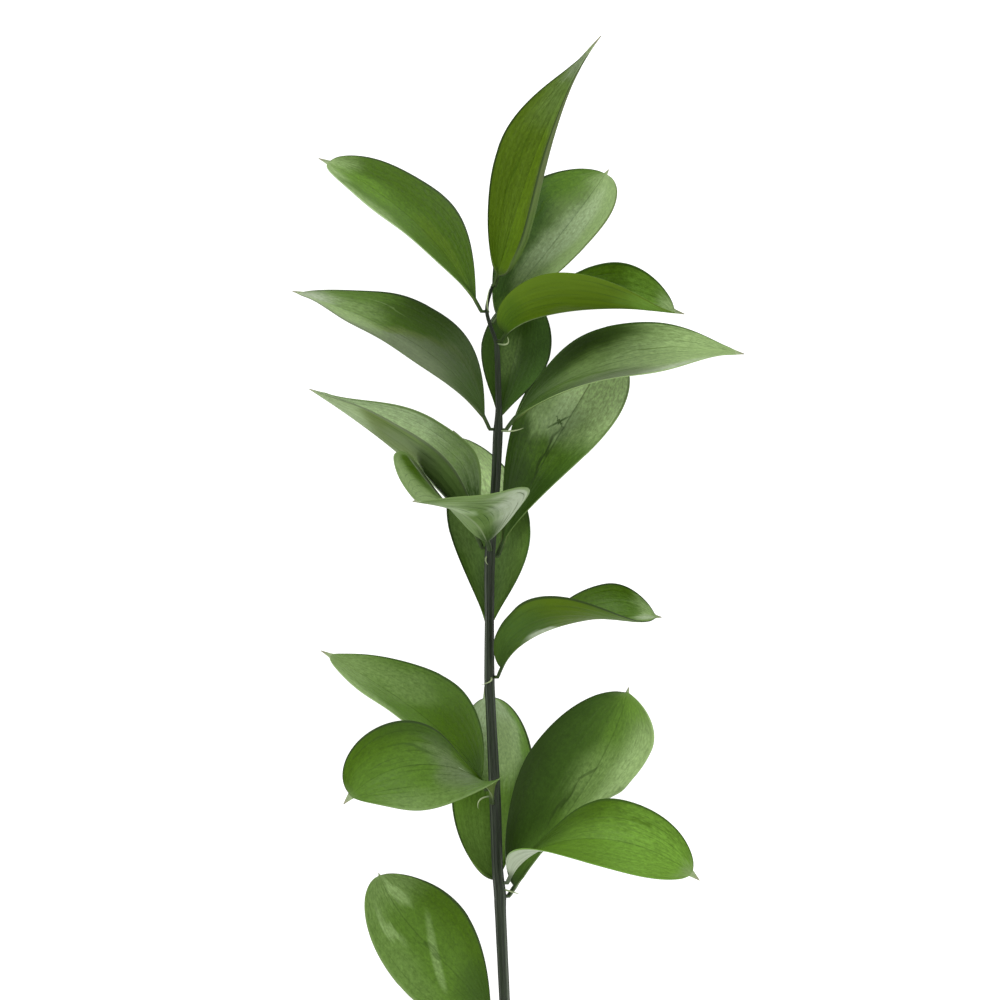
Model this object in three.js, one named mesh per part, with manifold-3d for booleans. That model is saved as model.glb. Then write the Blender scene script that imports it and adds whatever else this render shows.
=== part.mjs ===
// A cut ruscus stem with its leaf-like blades, lying on a surface.
// Units are millimetres. The spray is laid out in the stem's own frame first: X across, Y along the
// stem from cut end to tip, Z the side that faces up when it lies down. At the end the whole spray
// is pitched and lifted so that the cut end and two blade tips touch Z = 0.
import * as THREE from "three";
import { mergeVertices } from "three/addons/utils/BufferGeometryUtils.js";
import Module from "manifold-3d";

// ---- Driving dimensions -------------------------------------------------------------------------
const REST_PITCH_DEG = 4.35; // the tip end of the stem rides higher than the cut end
const REST_SHIFT = [-6.2, 64.5, 24.1]; // from the stem frame's origin to the middle of the lying spray

const STALK_STAND = 1.2; // from the skin of the stem to the middle of a stalk's root, clear of it
const BLADE_THICKNESS = 0.7;
const STALK_RADIUS = 0.65;
const POINT_RADIUS = 0.33; // of the bristle at a blade's tip, which narrows to POINT_END of it
const POINT_END = 0.4;
const STALK_LENGTH = 4; // unless a blade says otherwise
const POINT_LENGTH = 4;
const V_SHARE = 0.45; // how much of a blade's cross-section is a V, the rest is a round trough
const OUTLINE = { widest: 0.48, full: 0.95, taper: 0.75 }; // unless a blade says otherwise

const BLADE_STEPS = 14;
const HALF_STEPS = 3;

const STEM_SIDES = 12;
const STEM_STEP = 7;
const RIDGE_DEPTH = 0.05;
const CUT_SLOPE = 0.6;

const STEM_COLOUR = 0x2f3d2c;
const BLADE_COLOUR = 0x47731f;

// ---- Stem ---------------------------------------------------------------------------------------
// Axis points [x, y, z] with the stem's radius there; the nodes are slightly swollen.
const STEM = [
  [2.8, -290, 0, 2.0],
  [3.6, -228, 0.6, 1.95],
  [2.6, -196, 0.3, 1.9],
  [1.6, -175, 0, 1.85],
  [0.2, -145, 0, 1.95],
  [0, -138, 0, 2.15],
  [-0.9, -128, 0, 1.9],
  [-1.75, -104, 0, 2.0],
  [-3.3, -72, 0, 1.75],
  [-3.7, -62, 0, 1.8],
  [-3.7, -42, 0, 1.6],
  [-3.5, -19, 0, 1.85],
  [-1.7, 3, 0, 1.6],
  [-0.7, 24, 0, 1.7],
  [-0.45, 32, 0, 1.1],
  [-1.0, 52, 0, 0.95],
  [-1.6, 56, 0, 0.75],
  [-4.6, 66, 0, 0.65],
  [-2.7, 75, 0, 0.55],
];

const stemCurve = new THREE.CatmullRomCurve3(
  STEM.map(([x, y, z]) => new THREE.Vector3(x, y, z)), false, "catmullrom", 0.5,
);

function stemRadius(y) {
  const above = STEM.findIndex((row) => row[1] >= y);
  if (above === 0) return STEM[0][3];
  if (above < 0) return STEM.at(-1)[3];
  const [low, high] = [STEM[above - 1], STEM[above]];
  return THREE.MathUtils.lerp(low[3], high[3], (y - low[1]) / (high[1] - low[1]));
}

// The axis rises in Y all the way, so the point at a given height is found by halving.
function stemAxis(y) {
  let [low, high] = [0, 1];
  for (let i = 0; i < 30; i++) {
    const middle = (low + high) / 2;
    if (stemCurve.getPoint(middle).y < y) low = middle;
    else high = middle;
  }
  return stemCurve.getPoint(low);
}

// A closed solid from rings of equal point counts, with a fan at both ends.
function loft(rings) {
  const sides = rings[0].length;
  const positions = rings.flat().flatMap((p) => p.toArray());
  const faces = [];
  for (let ring = 0; ring < rings.length - 1; ring++) {
    for (let side = 0; side < sides; side++) {
      const next = (side + 1) % sides;
      const [a, b] = [ring * sides + side, ring * sides + next];
      faces.push(a, b, b + sides, a, b + sides, a + sides);
    }
  }
  const last = (rings.length - 1) * sides;
  for (let side = 1; side < sides - 1; side++) {
    faces.push(0, side + 1, side, last, last + side, last + side + 1);
  }
  return solid(positions, faces);
}

function solid(positions, faces) {
  const geometry = new THREE.BufferGeometry();
  geometry.setAttribute("position", new THREE.Float32BufferAttribute(positions, 3));
  geometry.setIndex(faces);
  return geometry;
}

function stemGeometry() {
  const [bottom, top] = [STEM[0][1], STEM.at(-1)[1]];
  const count = Math.round((top - bottom) / STEM_STEP);
  const rings = [];
  for (let i = 0; i <= count; i++) {
    const y = THREE.MathUtils.lerp(bottom, top, i / count);
    const axis = stemAxis(y);
    const ring = [];
    for (let side = 0; side < STEM_SIDES; side++) {
      const angle = (2 * Math.PI * side) / STEM_SIDES;
      const ridge = side % 2 ? 1 - RIDGE_DEPTH : 1 + RIDGE_DEPTH;
      const radius = stemRadius(y) * ridge;
      const x = radius * Math.sin(angle);
      const slant = i === 0 ? CUT_SLOPE * x : 0;
      ring.push(new THREE.Vector3(axis.x + x, y + slant, axis.z + radius * Math.cos(angle)));
    }
    rings.push(ring);
  }
  return loft(rings);
}

// ---- Bracts: thin curved scales, one or more at a node, fused into the stem ----------------------
// Each is [root, bend, end]; the root lies inside the stem.
const BRACT_RADIUS = [0.45, 0.18];
const BRACT_STEPS = 6;
const BRACT_SIDES = 5;
const BRACTS = [
  [[-3.9, 65.6, 0.2], [-5.2, 68.5, 1.2], [-3.6, 74.2, 1.6]],
  [[-1.2, 54.8, 0.4], [4.2, 53.2, 2.2], [2.6, 57.0, 3.0]],
  [[-0.7, 24.4, 0.8], [4.5, 23.4, 2.2], [8.2, 25.2, 2.6]],
  [[-3.5, -18.6, 0.6], [-6.2, -20.6, 2.0], [-4.2, -22.6, 2.9]],
  [[-3.7, -61.6, 0.9], [-1.2, -63.2, 3.2], [-6.6, -64.6, 2.4]],
  [[-3.0, -103.6, 0.8], [-8.6, -103.8, 2.4], [-7.6, -107.8, 3.2]],
  [[-0.3, -135.8, 0.6], [4.2, -137.0, 1.0], [6.8, -137.8, 1.8]],
];

function bractGeometry([root, bend, end]) {
  const curve = new THREE.QuadraticBezierCurve3(
    new THREE.Vector3(...root), new THREE.Vector3(...bend), new THREE.Vector3(...end),
  );
  const frames = curve.computeFrenetFrames(BRACT_STEPS);
  const rings = [];
  for (let i = 0; i <= BRACT_STEPS; i++) {
    const centre = curve.getPointAt(i / BRACT_STEPS);
    const radius = THREE.MathUtils.lerp(...BRACT_RADIUS, i / BRACT_STEPS);
    const ring = [];
    for (let side = 0; side < BRACT_SIDES; side++) {
      const angle = (2 * Math.PI * side) / BRACT_SIDES;
      const out = frames.normals[i].clone().multiplyScalar(radius * Math.cos(angle));
      out.addScaledVector(frames.binormals[i], radius * Math.sin(angle));
      ring.push(centre.clone().add(out));
    }
    rings.push(ring);
  }
  return loft(rings);
}

const wasm = await Module();
wasm.setup();

function toManifold(geometry) {
  const merged = mergeVertices(geometry);
  return new wasm.Manifold(new wasm.Mesh({
    numProp: 3,
    vertProperties: new Float32Array(merged.attributes.position.array),
    triVerts: new Uint32Array(merged.index.array),
  }));
}

function fuse(geometries) {
  const joined = geometries.map(toManifold).reduce((whole, piece) => whole.add(piece));
  const mesh = joined.getMesh();
  return solid(mesh.vertProperties, Array.from(mesh.triVerts));
}

// ---- Blades -------------------------------------------------------------------------------------
// A blade's midrib is a Bezier curve: it starts on the stem at height `at` and bearing `side`
// (0 = right, 90 = up off the surface, 180 = left), leaves towards `leave`, comes in from `arrive`
// and ends at `tip`. `face` is where the upper side looks and `cup` how far both halves lift from
// flat, in degrees; each is given at the base, the middle and the tip. `width` is a half's widest,
// and what `left` or `right` holds is for that half alone.
const BLADES = [
  {
    name: "leaf_01", at: -185.5, side: 170,
    leave: [-9, -166, 3], arrive: [-34, -153.5, 6], tip: [-42.5, -130.5, 0],
    width: 16.5, widest: 0.58, full: 0.9, taper: 0.5, point: 1,
    face: [[0, 0.2, 1], [0, 0.1, 1], [0.1, 0.2, 1]],
    cup: [30, 12, 12],
    left: { width: 17.3, widest: 0.42, full: 0.55 },
    right: { width: 18, full: 1.25 },
  },
  {
    name: "leaf_02", at: -134, side: 20,
    leave: [8.5, -115, 14], arrive: [44, -109.5, 24], tip: [69, -131.5, 20],
    width: 17, widest: 0.5, full: 0.8, taper: 0.6,
    face: [[0, 1, 0], [0, 0.62, 0.78], [0.1, 0.3, 0.95]],
    cup: [50, 28, 18],
    left: { width: 14.3, full: 2.6, widest: 0.6 },
  },
  {
    name: "leaf_03", at: -138.6, side: -25,
    leave: [12.5, -123, 3], arrive: [39, -95, 4], tip: [45, -65.5, 0],
    width: 20.5, widest: 0.55, full: 0.85, taper: 0.5, point: 2,
    face: [[-0.3, 0.2, 0.93], [-0.3, 0.2, 0.93], [-0.3, 0.2, 0.93]],
    cup: [35, 22, 12],
    left: { width: 23, full: 0.68, taper: 0.44 },
    right: { width: 17.3, widest: 0.8, full: 3.2, taper: 0.8 },
  },
  {
    name: "leaf_04", at: -136.5, side: 262,
    leave: [-7, -120, -11], arrive: [0, -92, -18], tip: [-5.5, -66, -16],
    width: 17.5, widest: 0.52, full: 0.6, taper: 0.45,
    face: [[0, 0.1, 1], [0, 0.1, 1], [0, 0.1, 1]],
    cup: [45, 32, 20],
    left: { width: 16.2, widest: 0.42, full: 0.5 },
  },
  {
    name: "leaf_05", at: -106, side: 110,
    leave: [0, -94, 22], arrive: [-34, -79.5, 42], tip: [-53.5, -104, 38],
    width: 16.5, widest: 0.55, taper: 0.5,
    face: [[-0.3, 1, 0.1], [0.2, 0.35, 0.9], [-0.1, 0.2, 0.97]],
    cup: [60, 20, 12],
    left: { width: 18, widest: 0.6, full: 1.1, taper: 0.65, cup: [80, 26, 12] },
    right: { width: 15.8, widest: 0.7, full: 3.8 },
  },
  {
    name: "leaf_06", at: -101.5, side: 190,
    leave: [-13, -84, -4], arrive: [-34, -69.5, -6], tip: [-63, -53, -8],
    width: 15.2, taper: 0.85,
    face: [[0.475, 0.6, 0.64], [0.475, 0.6, 0.64], [0.475, 0.6, 0.64]],
    cup: [30, 22, 15],
    right: { width: 17.5, widest: 0.42 },
  },
  {
    name: "leaf_07", at: -62, side: 15,
    leave: [5, -42.5, 8], arrive: [35, -39, 10], tip: [56.5, -41, 2],
    width: 18.8, widest: 0.48, full: 0.75, taper: 0.85, point: 2.5,
    face: [[-0.6, 0.5, -0.6], [0, 0.99, 0.08], [0.1, 0.2, 1.1]],
    cup: [35, 36, 45],
    left: { width: 12.4, widest: 0.72, full: 1.3 },
  },
  {
    name: "leaf_08", at: -49, side: 258,
    leave: [-3, -28, -12], arrive: [-2, 4.5, -24], tip: [-16.5, 24.5, -16],
    width: 17.5, full: 1.1,
    face: [[0, 0.1, 1], [0, 0.1, 1], [0, 0.1, 1]],
    cup: [40, 30, 20],
    left: { width: 15.2, widest: 0.55, full: 1.1 },
  },
  {
    name: "leaf_09", at: -17.5, side: 92,
    leave: [-7, -3, 10], arrive: [-18.5, -2, 32], tip: [-29.5, -0.5, 55],
    width: 23.8, widest: 0.3, full: 0.8, taper: 0.95,
    face: [[0.1, 0.5, -0.85], [0.26, 0.97, -0.1], [0.3, 0.9, 0.3]],
    cup: [30, 29, 36],
    right: { width: 28, widest: 0.54, full: 0.8, taper: 0.55, cup: [28, 32, 14] },
  },
  {
    name: "leaf_10", at: -19.6, side: -30,
    leave: [6.5, 2, -5], arrive: [27.5, 32.5, -17], tip: [40.5, 56, -23],
    width: 19.5, widest: 0.62, full: 1.2, taper: 0.6,
    face: [[-0.15, 0.08, 1], [-0.15, 0.08, 1], [-0.15, 0.08, 1]],
    cup: [35, 35, 20],
    right: { width: 18.8, full: 1.5, widest: 0.7, taper: 0.4 },
  },
  {
    name: "leaf_11", at: -16.8, side: 185,
    leave: [-10.5, -5.5, -2], arrive: [-31, 16.5, 2], tip: [-67, 39, -6],
    width: 18.5, widest: 0.42, taper: 1.1, point: 3,
    face: [[0.6, 0.63, 0.48], [0.6, 0.63, 0.48], [0.6, 0.63, 0.48]],
    cup: [60, 60, 60],
    left: { width: 17 },
    right: { width: 19, widest: 0.3, full: 1.1, taper: 1.2 },
  },
  {
    name: "leaf_12", at: 24.5, side: 0,
    leave: [10.5, 38.5, 0], arrive: [42, 56.5, -8], tip: [87, 52, -27.78],
    width: 17.5, widest: 0.44, full: 0.65, taper: 1.2,
    face: [[-0.3, 0.6, 0.7], [-0.2, 0.7, 0.7], [0, 0.6, 0.7]],
    cup: [45, 20, 20],
    left: { width: 14, full: 1.3, widest: 0.52, taper: 0.95, cup: [45, 30, 30] },
  },
  {
    name: "leaf_13", at: 26, side: 265,
    leave: [2.5, 42.5, -12], arrive: [10.5, 64, -20], tip: [6.5, 75.5, -18],
    width: 13.4, widest: 0.52, taper: 0.45,
    face: [[0, 0.1, 1], [0, 0.1, 1], [0, 0.1, 1]],
    cup: [40, 26, 20],
  },
  {
    name: "leaf_14", at: 24.8, side: 180,
    leave: [-13.5, 48.5, 0], arrive: [-35, 61, -6], tip: [-74, 74.5, -29.5],
    width: 20, widest: 0.37, taper: 1.3,
    face: [[0.4, 0.64, 0.65], [0.4, 0.64, 0.65], [0.4, 0.64, 0.65]],
    cup: [30, 22, 15],
    right: { width: 16.5, widest: 0.45, full: 1.1, taper: 0.75 },
  },
  {
    name: "leaf_15", at: 55.5, side: 20,
    leave: [5, 66, 8], arrive: [35, 69.5, 10], tip: [64.5, 65, 2],
    width: 17.2, widest: 0.46, full: 0.4, taper: 0.65,
    face: [[-0.6, 0.45, -0.65], [0, 0.97, 0.25], [0.1, 0.5, 0.85]],
    cup: [35, 56, 50],
    left: { width: 16.2, widest: 0.62, full: 1 },
    right: { taper: 1.15 },
  },
  {
    name: "leaf_16", at: 66, side: 175,
    leave: [-17.5, 87, -3], arrive: [-33.5, 105.5, -6], tip: [-64, 120.5, -12],
    width: 14.6, widest: 0.5, full: 1.1, taper: 0.6,
    face: [[0.45, 0.55, 0.7], [0.45, 0.55, 0.7], [0.45, 0.55, 0.7]],
    cup: [30, 20, 15],
    right: { width: 15.4, taper: 0.5 },
  },
  {
    name: "leaf_17", at: 62, side: 300,
    leave: [4, 73, -9], arrive: [23.5, 94.5, -14], tip: [38.5, 117, -18],
    width: 17, widest: 0.6, taper: 0.55, point: 2,
    face: [[-0.27, 0.28, 0.92], [-0.27, 0.28, 0.92], [-0.27, 0.28, 0.92]],
    cup: [30, 33, 15],
    left: { width: 20, full: 0.75 },
    right: { width: 16.6, widest: 0.62, full: 0.6, taper: 0.45 },
  },
  {
    name: "leaf_18", at: 76.5, side: 60,
    leave: [5, 98, 4], arrive: [13, 134, 10], tip: [35, 161, 14],
    width: 17.3, widest: 0.22, full: 0.5, taper: 1.35, point: 8,
    face: [[-0.3, 0.13, 0.94], [-0.3, 0.13, 0.94], [-0.3, 0.13, 0.94]],
    cup: [45, 48, 50],
    left: { width: 14.4, widest: 0.54, full: 0.72, taper: 1.4 },
  },
];

function threeway([base, middle, tip], f) {
  return base * (1 - f) * (1 - 2 * f) + middle * 4 * f * (1 - f) + tip * f * (2 * f - 1);
}

// How wide a half is, as a share of its widest, from the stalk (0) to the point (1): it fills out
// to `widest`, slowly where `full` is high, and narrows again, bluntly where `taper` is low.
function outline(f, { widest, full, taper }) {
  if (f < widest) return Math.sin((Math.PI / 2) * (f / widest)) ** full;
  return Math.cos((Math.PI / 2) * ((f - widest) / (1 - widest))) ** taper;
}

function bladeGeometry(blade) {
  const { at, side, leave, arrive, tip, face } = blade;
  const { stalk = STALK_LENGTH, point = POINT_LENGTH } = blade;
  const bearing = THREE.MathUtils.degToRad(side);
  const start = stemAxis(at);
  const stand = stemRadius(at) * (1 + RIDGE_DEPTH) + STALK_STAND;
  start.x += stand * Math.cos(bearing);
  start.z += stand * Math.sin(bearing);
  const midrib = new THREE.CubicBezierCurve3(
    start, new THREE.Vector3(...leave), new THREE.Vector3(...arrive), new THREE.Vector3(...tip),
  );
  const length = midrib.getLength();
  const bladeLength = length - stalk - point;
  const stations = [0, stalk * 0.5];
  for (let i = 0; i <= BLADE_STEPS; i++) {
    stations.push(stalk + bladeLength * (0.5 - 0.5 * Math.cos((Math.PI * i) / BLADE_STEPS)));
  }
  stations.push(length);

  const rows = stations.map((distance) => {
    const f = distance / length;
    const centre = midrib.getPointAt(f);
    const along = midrib.getTangentAt(f);
    const up = new THREE.Vector3(...[0, 1, 2].map((axis) => threeway(face.map((v) => v[axis]), f)));
    up.addScaledVector(along, -up.dot(along)).normalize();
    const right = along.clone().cross(up);
    const share = THREE.MathUtils.clamp((distance - stalk) / bladeLength, 0, 1);
    const narrow = share < 0.5 ? STALK_RADIUS : POINT_RADIUS * (distance < length ? 1 : POINT_END);
    const thick = THREE.MathUtils.lerp(
      STALK_RADIUS * 2, BLADE_THICKNESS, THREE.MathUtils.smoothstep(share, 0, 0.12),
    );
    const row = [];
    for (let i = -HALF_STEPS; i <= HALF_STEPS; i++) {
      const s = Math.abs(i) / HALF_STEPS;
      const half = { ...OUTLINE, ...blade, ...(i < 0 ? blade.left : blade.right) };
      const width = Math.max(half.width * outline(share, half), narrow);
      const lift = THREE.MathUtils.degToRad(threeway(half.cup, f));
      row.push(crossPoint(centre, right, up, Math.sign(i), width * s, lift, s));
    }
    return { row, thick };
  });
  return sheet(rows);
}

// A point on one half of the cross-section, `reach` out from the midrib. The section starts at
// V_SHARE of the lift and bends on to the edge, so its chord is straight and its far end steeper.
function crossPoint(centre, right, up, hand, reach, lift, s) {
  const angle = lift * (V_SHARE + (1 - V_SHARE) * s);
  return centre.clone()
    .addScaledVector(right, hand * reach * Math.cos(angle))
    .addScaledVector(up, reach * Math.sin(angle));
}

// A thin closed solid round a grid of middle points: the same triangles on both faces, and a rim.
function sheet(rows) {
  const [rowCount, width] = [rows.length, rows[0].row.length];
  const point = (i, j) => rows[THREE.MathUtils.clamp(i, 0, rowCount - 1)]
    .row[THREE.MathUtils.clamp(j, 0, width - 1)];
  const [positions, faces] = [[[], []], []];
  rows.forEach(({ row, thick }, i) => row.forEach((middle, j) => {
    const across = point(i, j + 1).clone().sub(point(i, j - 1));
    const onward = point(i + 1, j).clone().sub(point(i - 1, j));
    const normal = across.cross(onward).normalize().multiplyScalar(thick / 2);
    positions[0].push(...middle.clone().add(normal).toArray());
    positions[1].push(...middle.clone().sub(normal).toArray());
  }));
  const under = rowCount * width;
  for (let i = 0; i < rowCount - 1; i++) {
    for (let j = 0; j < width - 1; j++) {
      const [a, b] = [i * width + j, i * width + j + 1];
      const [c, d] = [a + width, b + width];
      faces.push(a, b, d, a, d, c);
      faces.push(under + a, under + d, under + b, under + a, under + c, under + d);
    }
  }
  const rim = [];
  for (let j = 0; j < width - 1; j++) rim.push(j);
  for (let i = 0; i < rowCount - 1; i++) rim.push(i * width + width - 1);
  for (let j = width - 1; j > 0; j--) rim.push((rowCount - 1) * width + j);
  for (let i = rowCount - 1; i > 0; i--) rim.push(i * width);
  rim.forEach((a, n) => {
    const b = rim[(n + 1) % rim.length];
    faces.push(a, under + a, under + b, a, under + b, b);
  });
  return solid(positions.flat(), faces);
}

// ---- The spray ----------------------------------------------------------------------------------
const stemMaterial = new THREE.MeshStandardMaterial({ color: STEM_COLOUR, roughness: 0.55 });
const bladeMaterial = () => new THREE.MeshStandardMaterial({
  color: BLADE_COLOUR, roughness: 0.42, side: THREE.DoubleSide,
});

function piece(name, geometry, material) {
  const mesh = new THREE.Mesh(geometry, material);
  mesh.name = name;
  return mesh;
}

const spray = new THREE.Group();
spray.add(piece("main_stem", fuse([stemGeometry(), ...BRACTS.map(bractGeometry)]), stemMaterial));
for (const blade of BLADES) spray.add(piece(blade.name, bladeGeometry(blade), bladeMaterial()));
spray.rotation.x = THREE.MathUtils.degToRad(REST_PITCH_DEG);
spray.position.set(...REST_SHIFT);

const lying = new THREE.Group();
lying.add(spray);
export default lying;
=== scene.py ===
"""A cut ruscus stem with its leaf-like blades, lying on a pale floor."""
import math
import random

import bmesh
import bpy
import numpy as np
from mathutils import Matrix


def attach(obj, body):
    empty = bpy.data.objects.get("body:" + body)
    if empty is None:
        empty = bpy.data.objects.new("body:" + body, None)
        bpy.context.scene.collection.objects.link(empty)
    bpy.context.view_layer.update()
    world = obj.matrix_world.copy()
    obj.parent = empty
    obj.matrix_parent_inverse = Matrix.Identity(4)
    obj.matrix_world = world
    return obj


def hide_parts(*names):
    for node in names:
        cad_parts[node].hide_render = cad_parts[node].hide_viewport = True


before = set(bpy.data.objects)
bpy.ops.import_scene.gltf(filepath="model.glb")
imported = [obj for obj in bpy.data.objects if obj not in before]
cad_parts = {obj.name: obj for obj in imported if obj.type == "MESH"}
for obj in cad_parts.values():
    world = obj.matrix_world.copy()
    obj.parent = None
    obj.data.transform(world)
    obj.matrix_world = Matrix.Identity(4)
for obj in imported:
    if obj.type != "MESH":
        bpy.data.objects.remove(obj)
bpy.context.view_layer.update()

# ---- The stem's own frame -----------------------------------------------------------------------
# The spray is laid out in millimetres: X across, Y along the stem from cut end to tip, Z the side
# that faces up when it lies down. lying() turns and lifts it to where it rests, in metres.
REST_PITCH = math.radians(4.35)
REST_SHIFT = (-6.2, 64.5, 24.1)
MM = 0.001


def lying(points):
    x, y, z = np.moveaxis(np.asarray(points, float), -1, 0)
    cos, sin = math.cos(REST_PITCH), math.sin(REST_PITCH)
    turned = np.stack([x, y * cos - z * sin, y * sin + z * cos], -1)
    return (turned + REST_SHIFT) * MM


def lerp(a, b, f):
    return a + (b - a) * f


def ease(value, low, high):
    """0 below low, 1 above high and a smooth rise between; low may be the larger."""
    t = np.clip((value - low) / (high - low), 0, 1)
    return t * t * (3 - 2 * t)


def unit(vectors):
    return vectors / np.linalg.norm(vectors, axis=-1, keepdims=True)


# ---- Camera -------------------------------------------------------------------------------------
CAMERA_HEIGHT = 1600  # mm above the stem's own frame, looking straight down on it
FIELD = 350  # mm of that frame across the view
SENSOR = 36


def add_camera():
    data = bpy.data.cameras.new("camera")
    data.sensor_width = SENSOR
    data.lens = SENSOR * CAMERA_HEIGHT / FIELD
    camera = bpy.data.objects.new("camera", data)
    camera.location = lying((0, 0, CAMERA_HEIGHT))
    camera.rotation_euler = (REST_PITCH, 0, 0)
    bpy.context.collection.objects.link(camera)
    bpy.context.scene.camera = camera


# ---- Shader maths -------------------------------------------------------------------------------
MIX_FACTOR, MIX_BELOW, MIX_ABOVE, MIX_RESULT = 0, 6, 7, 2  # a colour Mix node's sockets
OVAL_END = 1.6  # a soft oval ends where the square of its place over its reach is this


class Value:
    """A socket of a material's nodes that Python's operators work on."""

    def __init__(self, skin, socket):
        self.skin = skin
        self.socket = socket

    def math(self, operation, *others):
        return self.skin.node("Math", [self, *others], operation=operation)

    def __add__(self, other):
        return self.math("ADD", other)

    __radd__ = __add__

    def __mul__(self, other):
        return self.math("MULTIPLY", other)

    __rmul__ = __mul__

    def __sub__(self, other):
        return self.math("SUBTRACT", other)

    def __rsub__(self, other):
        return self.skin.node("Math", [other, self], operation="SUBTRACT")

    def __truediv__(self, other):
        return self.math("DIVIDE", other)

    def __abs__(self):
        return self.math("ABSOLUTE")

    def over(self, low, high):
        """0 below low, 1 above high and a smooth rise between; low may be the larger."""
        return self.skin.node(
            "MapRange", [self, low, high, 0, 1], interpolation_type="SMOOTHSTEP",
        )

    def near(self, place, reach):
        """1 at a place, falling smoothly to 0 at a reach from it."""
        return abs(self - place).over(reach, 0)


class Skin:
    """A material whose nodes are added by node(), and whose surface is one glossy shader."""

    def __init__(self, name):
        self.material = bpy.data.materials.new(name)
        self.material.use_nodes = True
        self.tree = self.material.node_tree
        self.tree.nodes.clear()

    def node(self, kind, sockets=(), output=0, **settings):
        node = self.tree.nodes.new("ShaderNode" + kind)
        for key, value in settings.items():
            setattr(node, key, value)
        named = sockets.items() if isinstance(sockets, dict) else enumerate(sockets)
        for key, value in named:
            self.feed(node.inputs[key], value)
        return Value(self, node.outputs[output])

    def feed(self, socket, value):
        if isinstance(value, Value):
            self.tree.links.new(value.socket, socket)
        else:
            socket.default_value = value

    def layer(self, name):
        """A number that the mesh holds at each of its points."""
        return self.node("Attribute", output="Fac", attribute_name=name)

    def blend(self, factor, below, above):
        """From one colour to another as factor goes from 0 to 1."""
        sockets = {MIX_FACTOR: factor, MIX_BELOW: below, MIX_ABOVE: above}
        return self.node("Mix", sockets, output=MIX_RESULT, data_type="RGBA")

    def shade(self, colour, light):
        """A colour made lighter or darker."""
        return self.node("VectorMath", {0: colour, "Scale": light}, operation="SCALE")

    def noise(self, place, detail=3, scale=1):
        return self.node("TexNoise", {"Vector": place, "Scale": scale, "Detail": detail})

    def vector(self, x, y, z):
        return self.node("CombineXYZ", [x, y, z])

    def oval(self, x, y, middle, reach, turn):
        """1 in the middle of a soft oval and 0 outside it. Its reach is half its width and half
        its length, and turn is how far its length leans to the right, in degrees."""
        sin, cos = math.sin(math.radians(turn)), math.cos(math.radians(turn))
        dx, dy = x - middle[0], y - middle[1]
        wide = (dx * cos - dy * sin) / reach[0]
        long = (dx * sin + dy * cos) / reach[1]
        inside = (wide * wide + long * long).over(OVAL_END, 0)
        return inside * inside

    def surface(self, colour, roughness, height, bump, **constants):
        """The shader: bump is how deep the height's full range is, in metres."""
        normal = self.node("Bump", {"Height": height, "Distance": bump, "Strength": 1})
        sockets = {"Base Color": colour, "Roughness": roughness, "Normal": normal, **constants}
        shader = self.node("BsdfPrincipled", sockets)
        output = self.tree.nodes.new("ShaderNodeOutputMaterial")
        self.tree.links.new(shader.socket, output.inputs["Surface"])
        return self.material


def colour(red, green, blue):
    """A colour given as on a screen, 0 to 255, turned to the linear one that shaders take."""
    screen = [c / 255 for c in (red, green, blue)]
    linear = [c / 12.92 if c <= 0.04045 else ((c + 0.055) / 1.055) ** 2.4 for c in screen]
    return (*linear, 1)


def grey(level):
    """A linear grey, 0 to 1."""
    return (level, level, level, 1)


# ---- Materials ----------------------------------------------------------------------------------
DEEP = colour(34, 54, 6)
DARK = colour(46, 72, 14)
GREEN = colour(62, 92, 4)
OLIVE = colour(78, 104, 8)
MEADOW = colour(84, 110, 20)
LEAF = colour(77, 109, 32)
FERN = colour(62, 92, 34)
FRESH = colour(90, 126, 36)
VIVID = colour(102, 142, 48)
MOSS = colour(90, 108, 52)
SAGE = colour(110, 136, 76)
# PALE, FROST and SILVER are pale greens and greys. On the blades they are mostly painted sheen, on
# pale tips and bands and silvery undersides, and in thin lines and small marks the blades' own pale
# veins and spots.
PALE = colour(142, 168, 108)
FROST = colour(166, 188, 142)
SILVER = colour(170, 182, 156)
# A pale green that is painted light: laid over blade parts in other leaves' shade so that they look
# lit.
PAINTED_LIGHT = colour(204, 232, 164)
MAUVE = colour(98, 112, 80)
MARGIN = colour(40, 58, 22)
POINT = colour(172, 186, 146)
DRY = colour(146, 146, 118)
DUSTY = colour(86, 98, 58)
STALK = colour(44, 60, 32)
BARK_DARK = colour(14, 22, 8)
BARK_LIGHT = colour(34, 46, 24)
BARK_PATCH = colour(40, 58, 30)
BARK_RIDGE = colour(56, 70, 46)
# Painted highlight: the pale lines where the stem's sides catch the light.
BARK_HIGHLIGHT = colour(104, 114, 98)
PITH = colour(186, 196, 160)
BRACT_ROOT = colour(80, 100, 58)
BRACT_END = colour(146, 160, 116)

VEINS = 9  # fine veins across each half
HALF_WIDTH = 17  # mm, a plain blade's, and what its finer patterns are sized by
LENGTH = 72  # mm, likewise
# How deep the height of each finish goes, in metres, and how much the leaf and the bark shine.
LEAF_RELIEF = 0.00016
BARK_RELIEF = 0.00015
BRACT_RELIEF = 0.0001
LEAF_SHINE = {"Specular IOR Level": 0.14}
BARK_SHINE = {"Specular IOR Level": 0.3}


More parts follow.
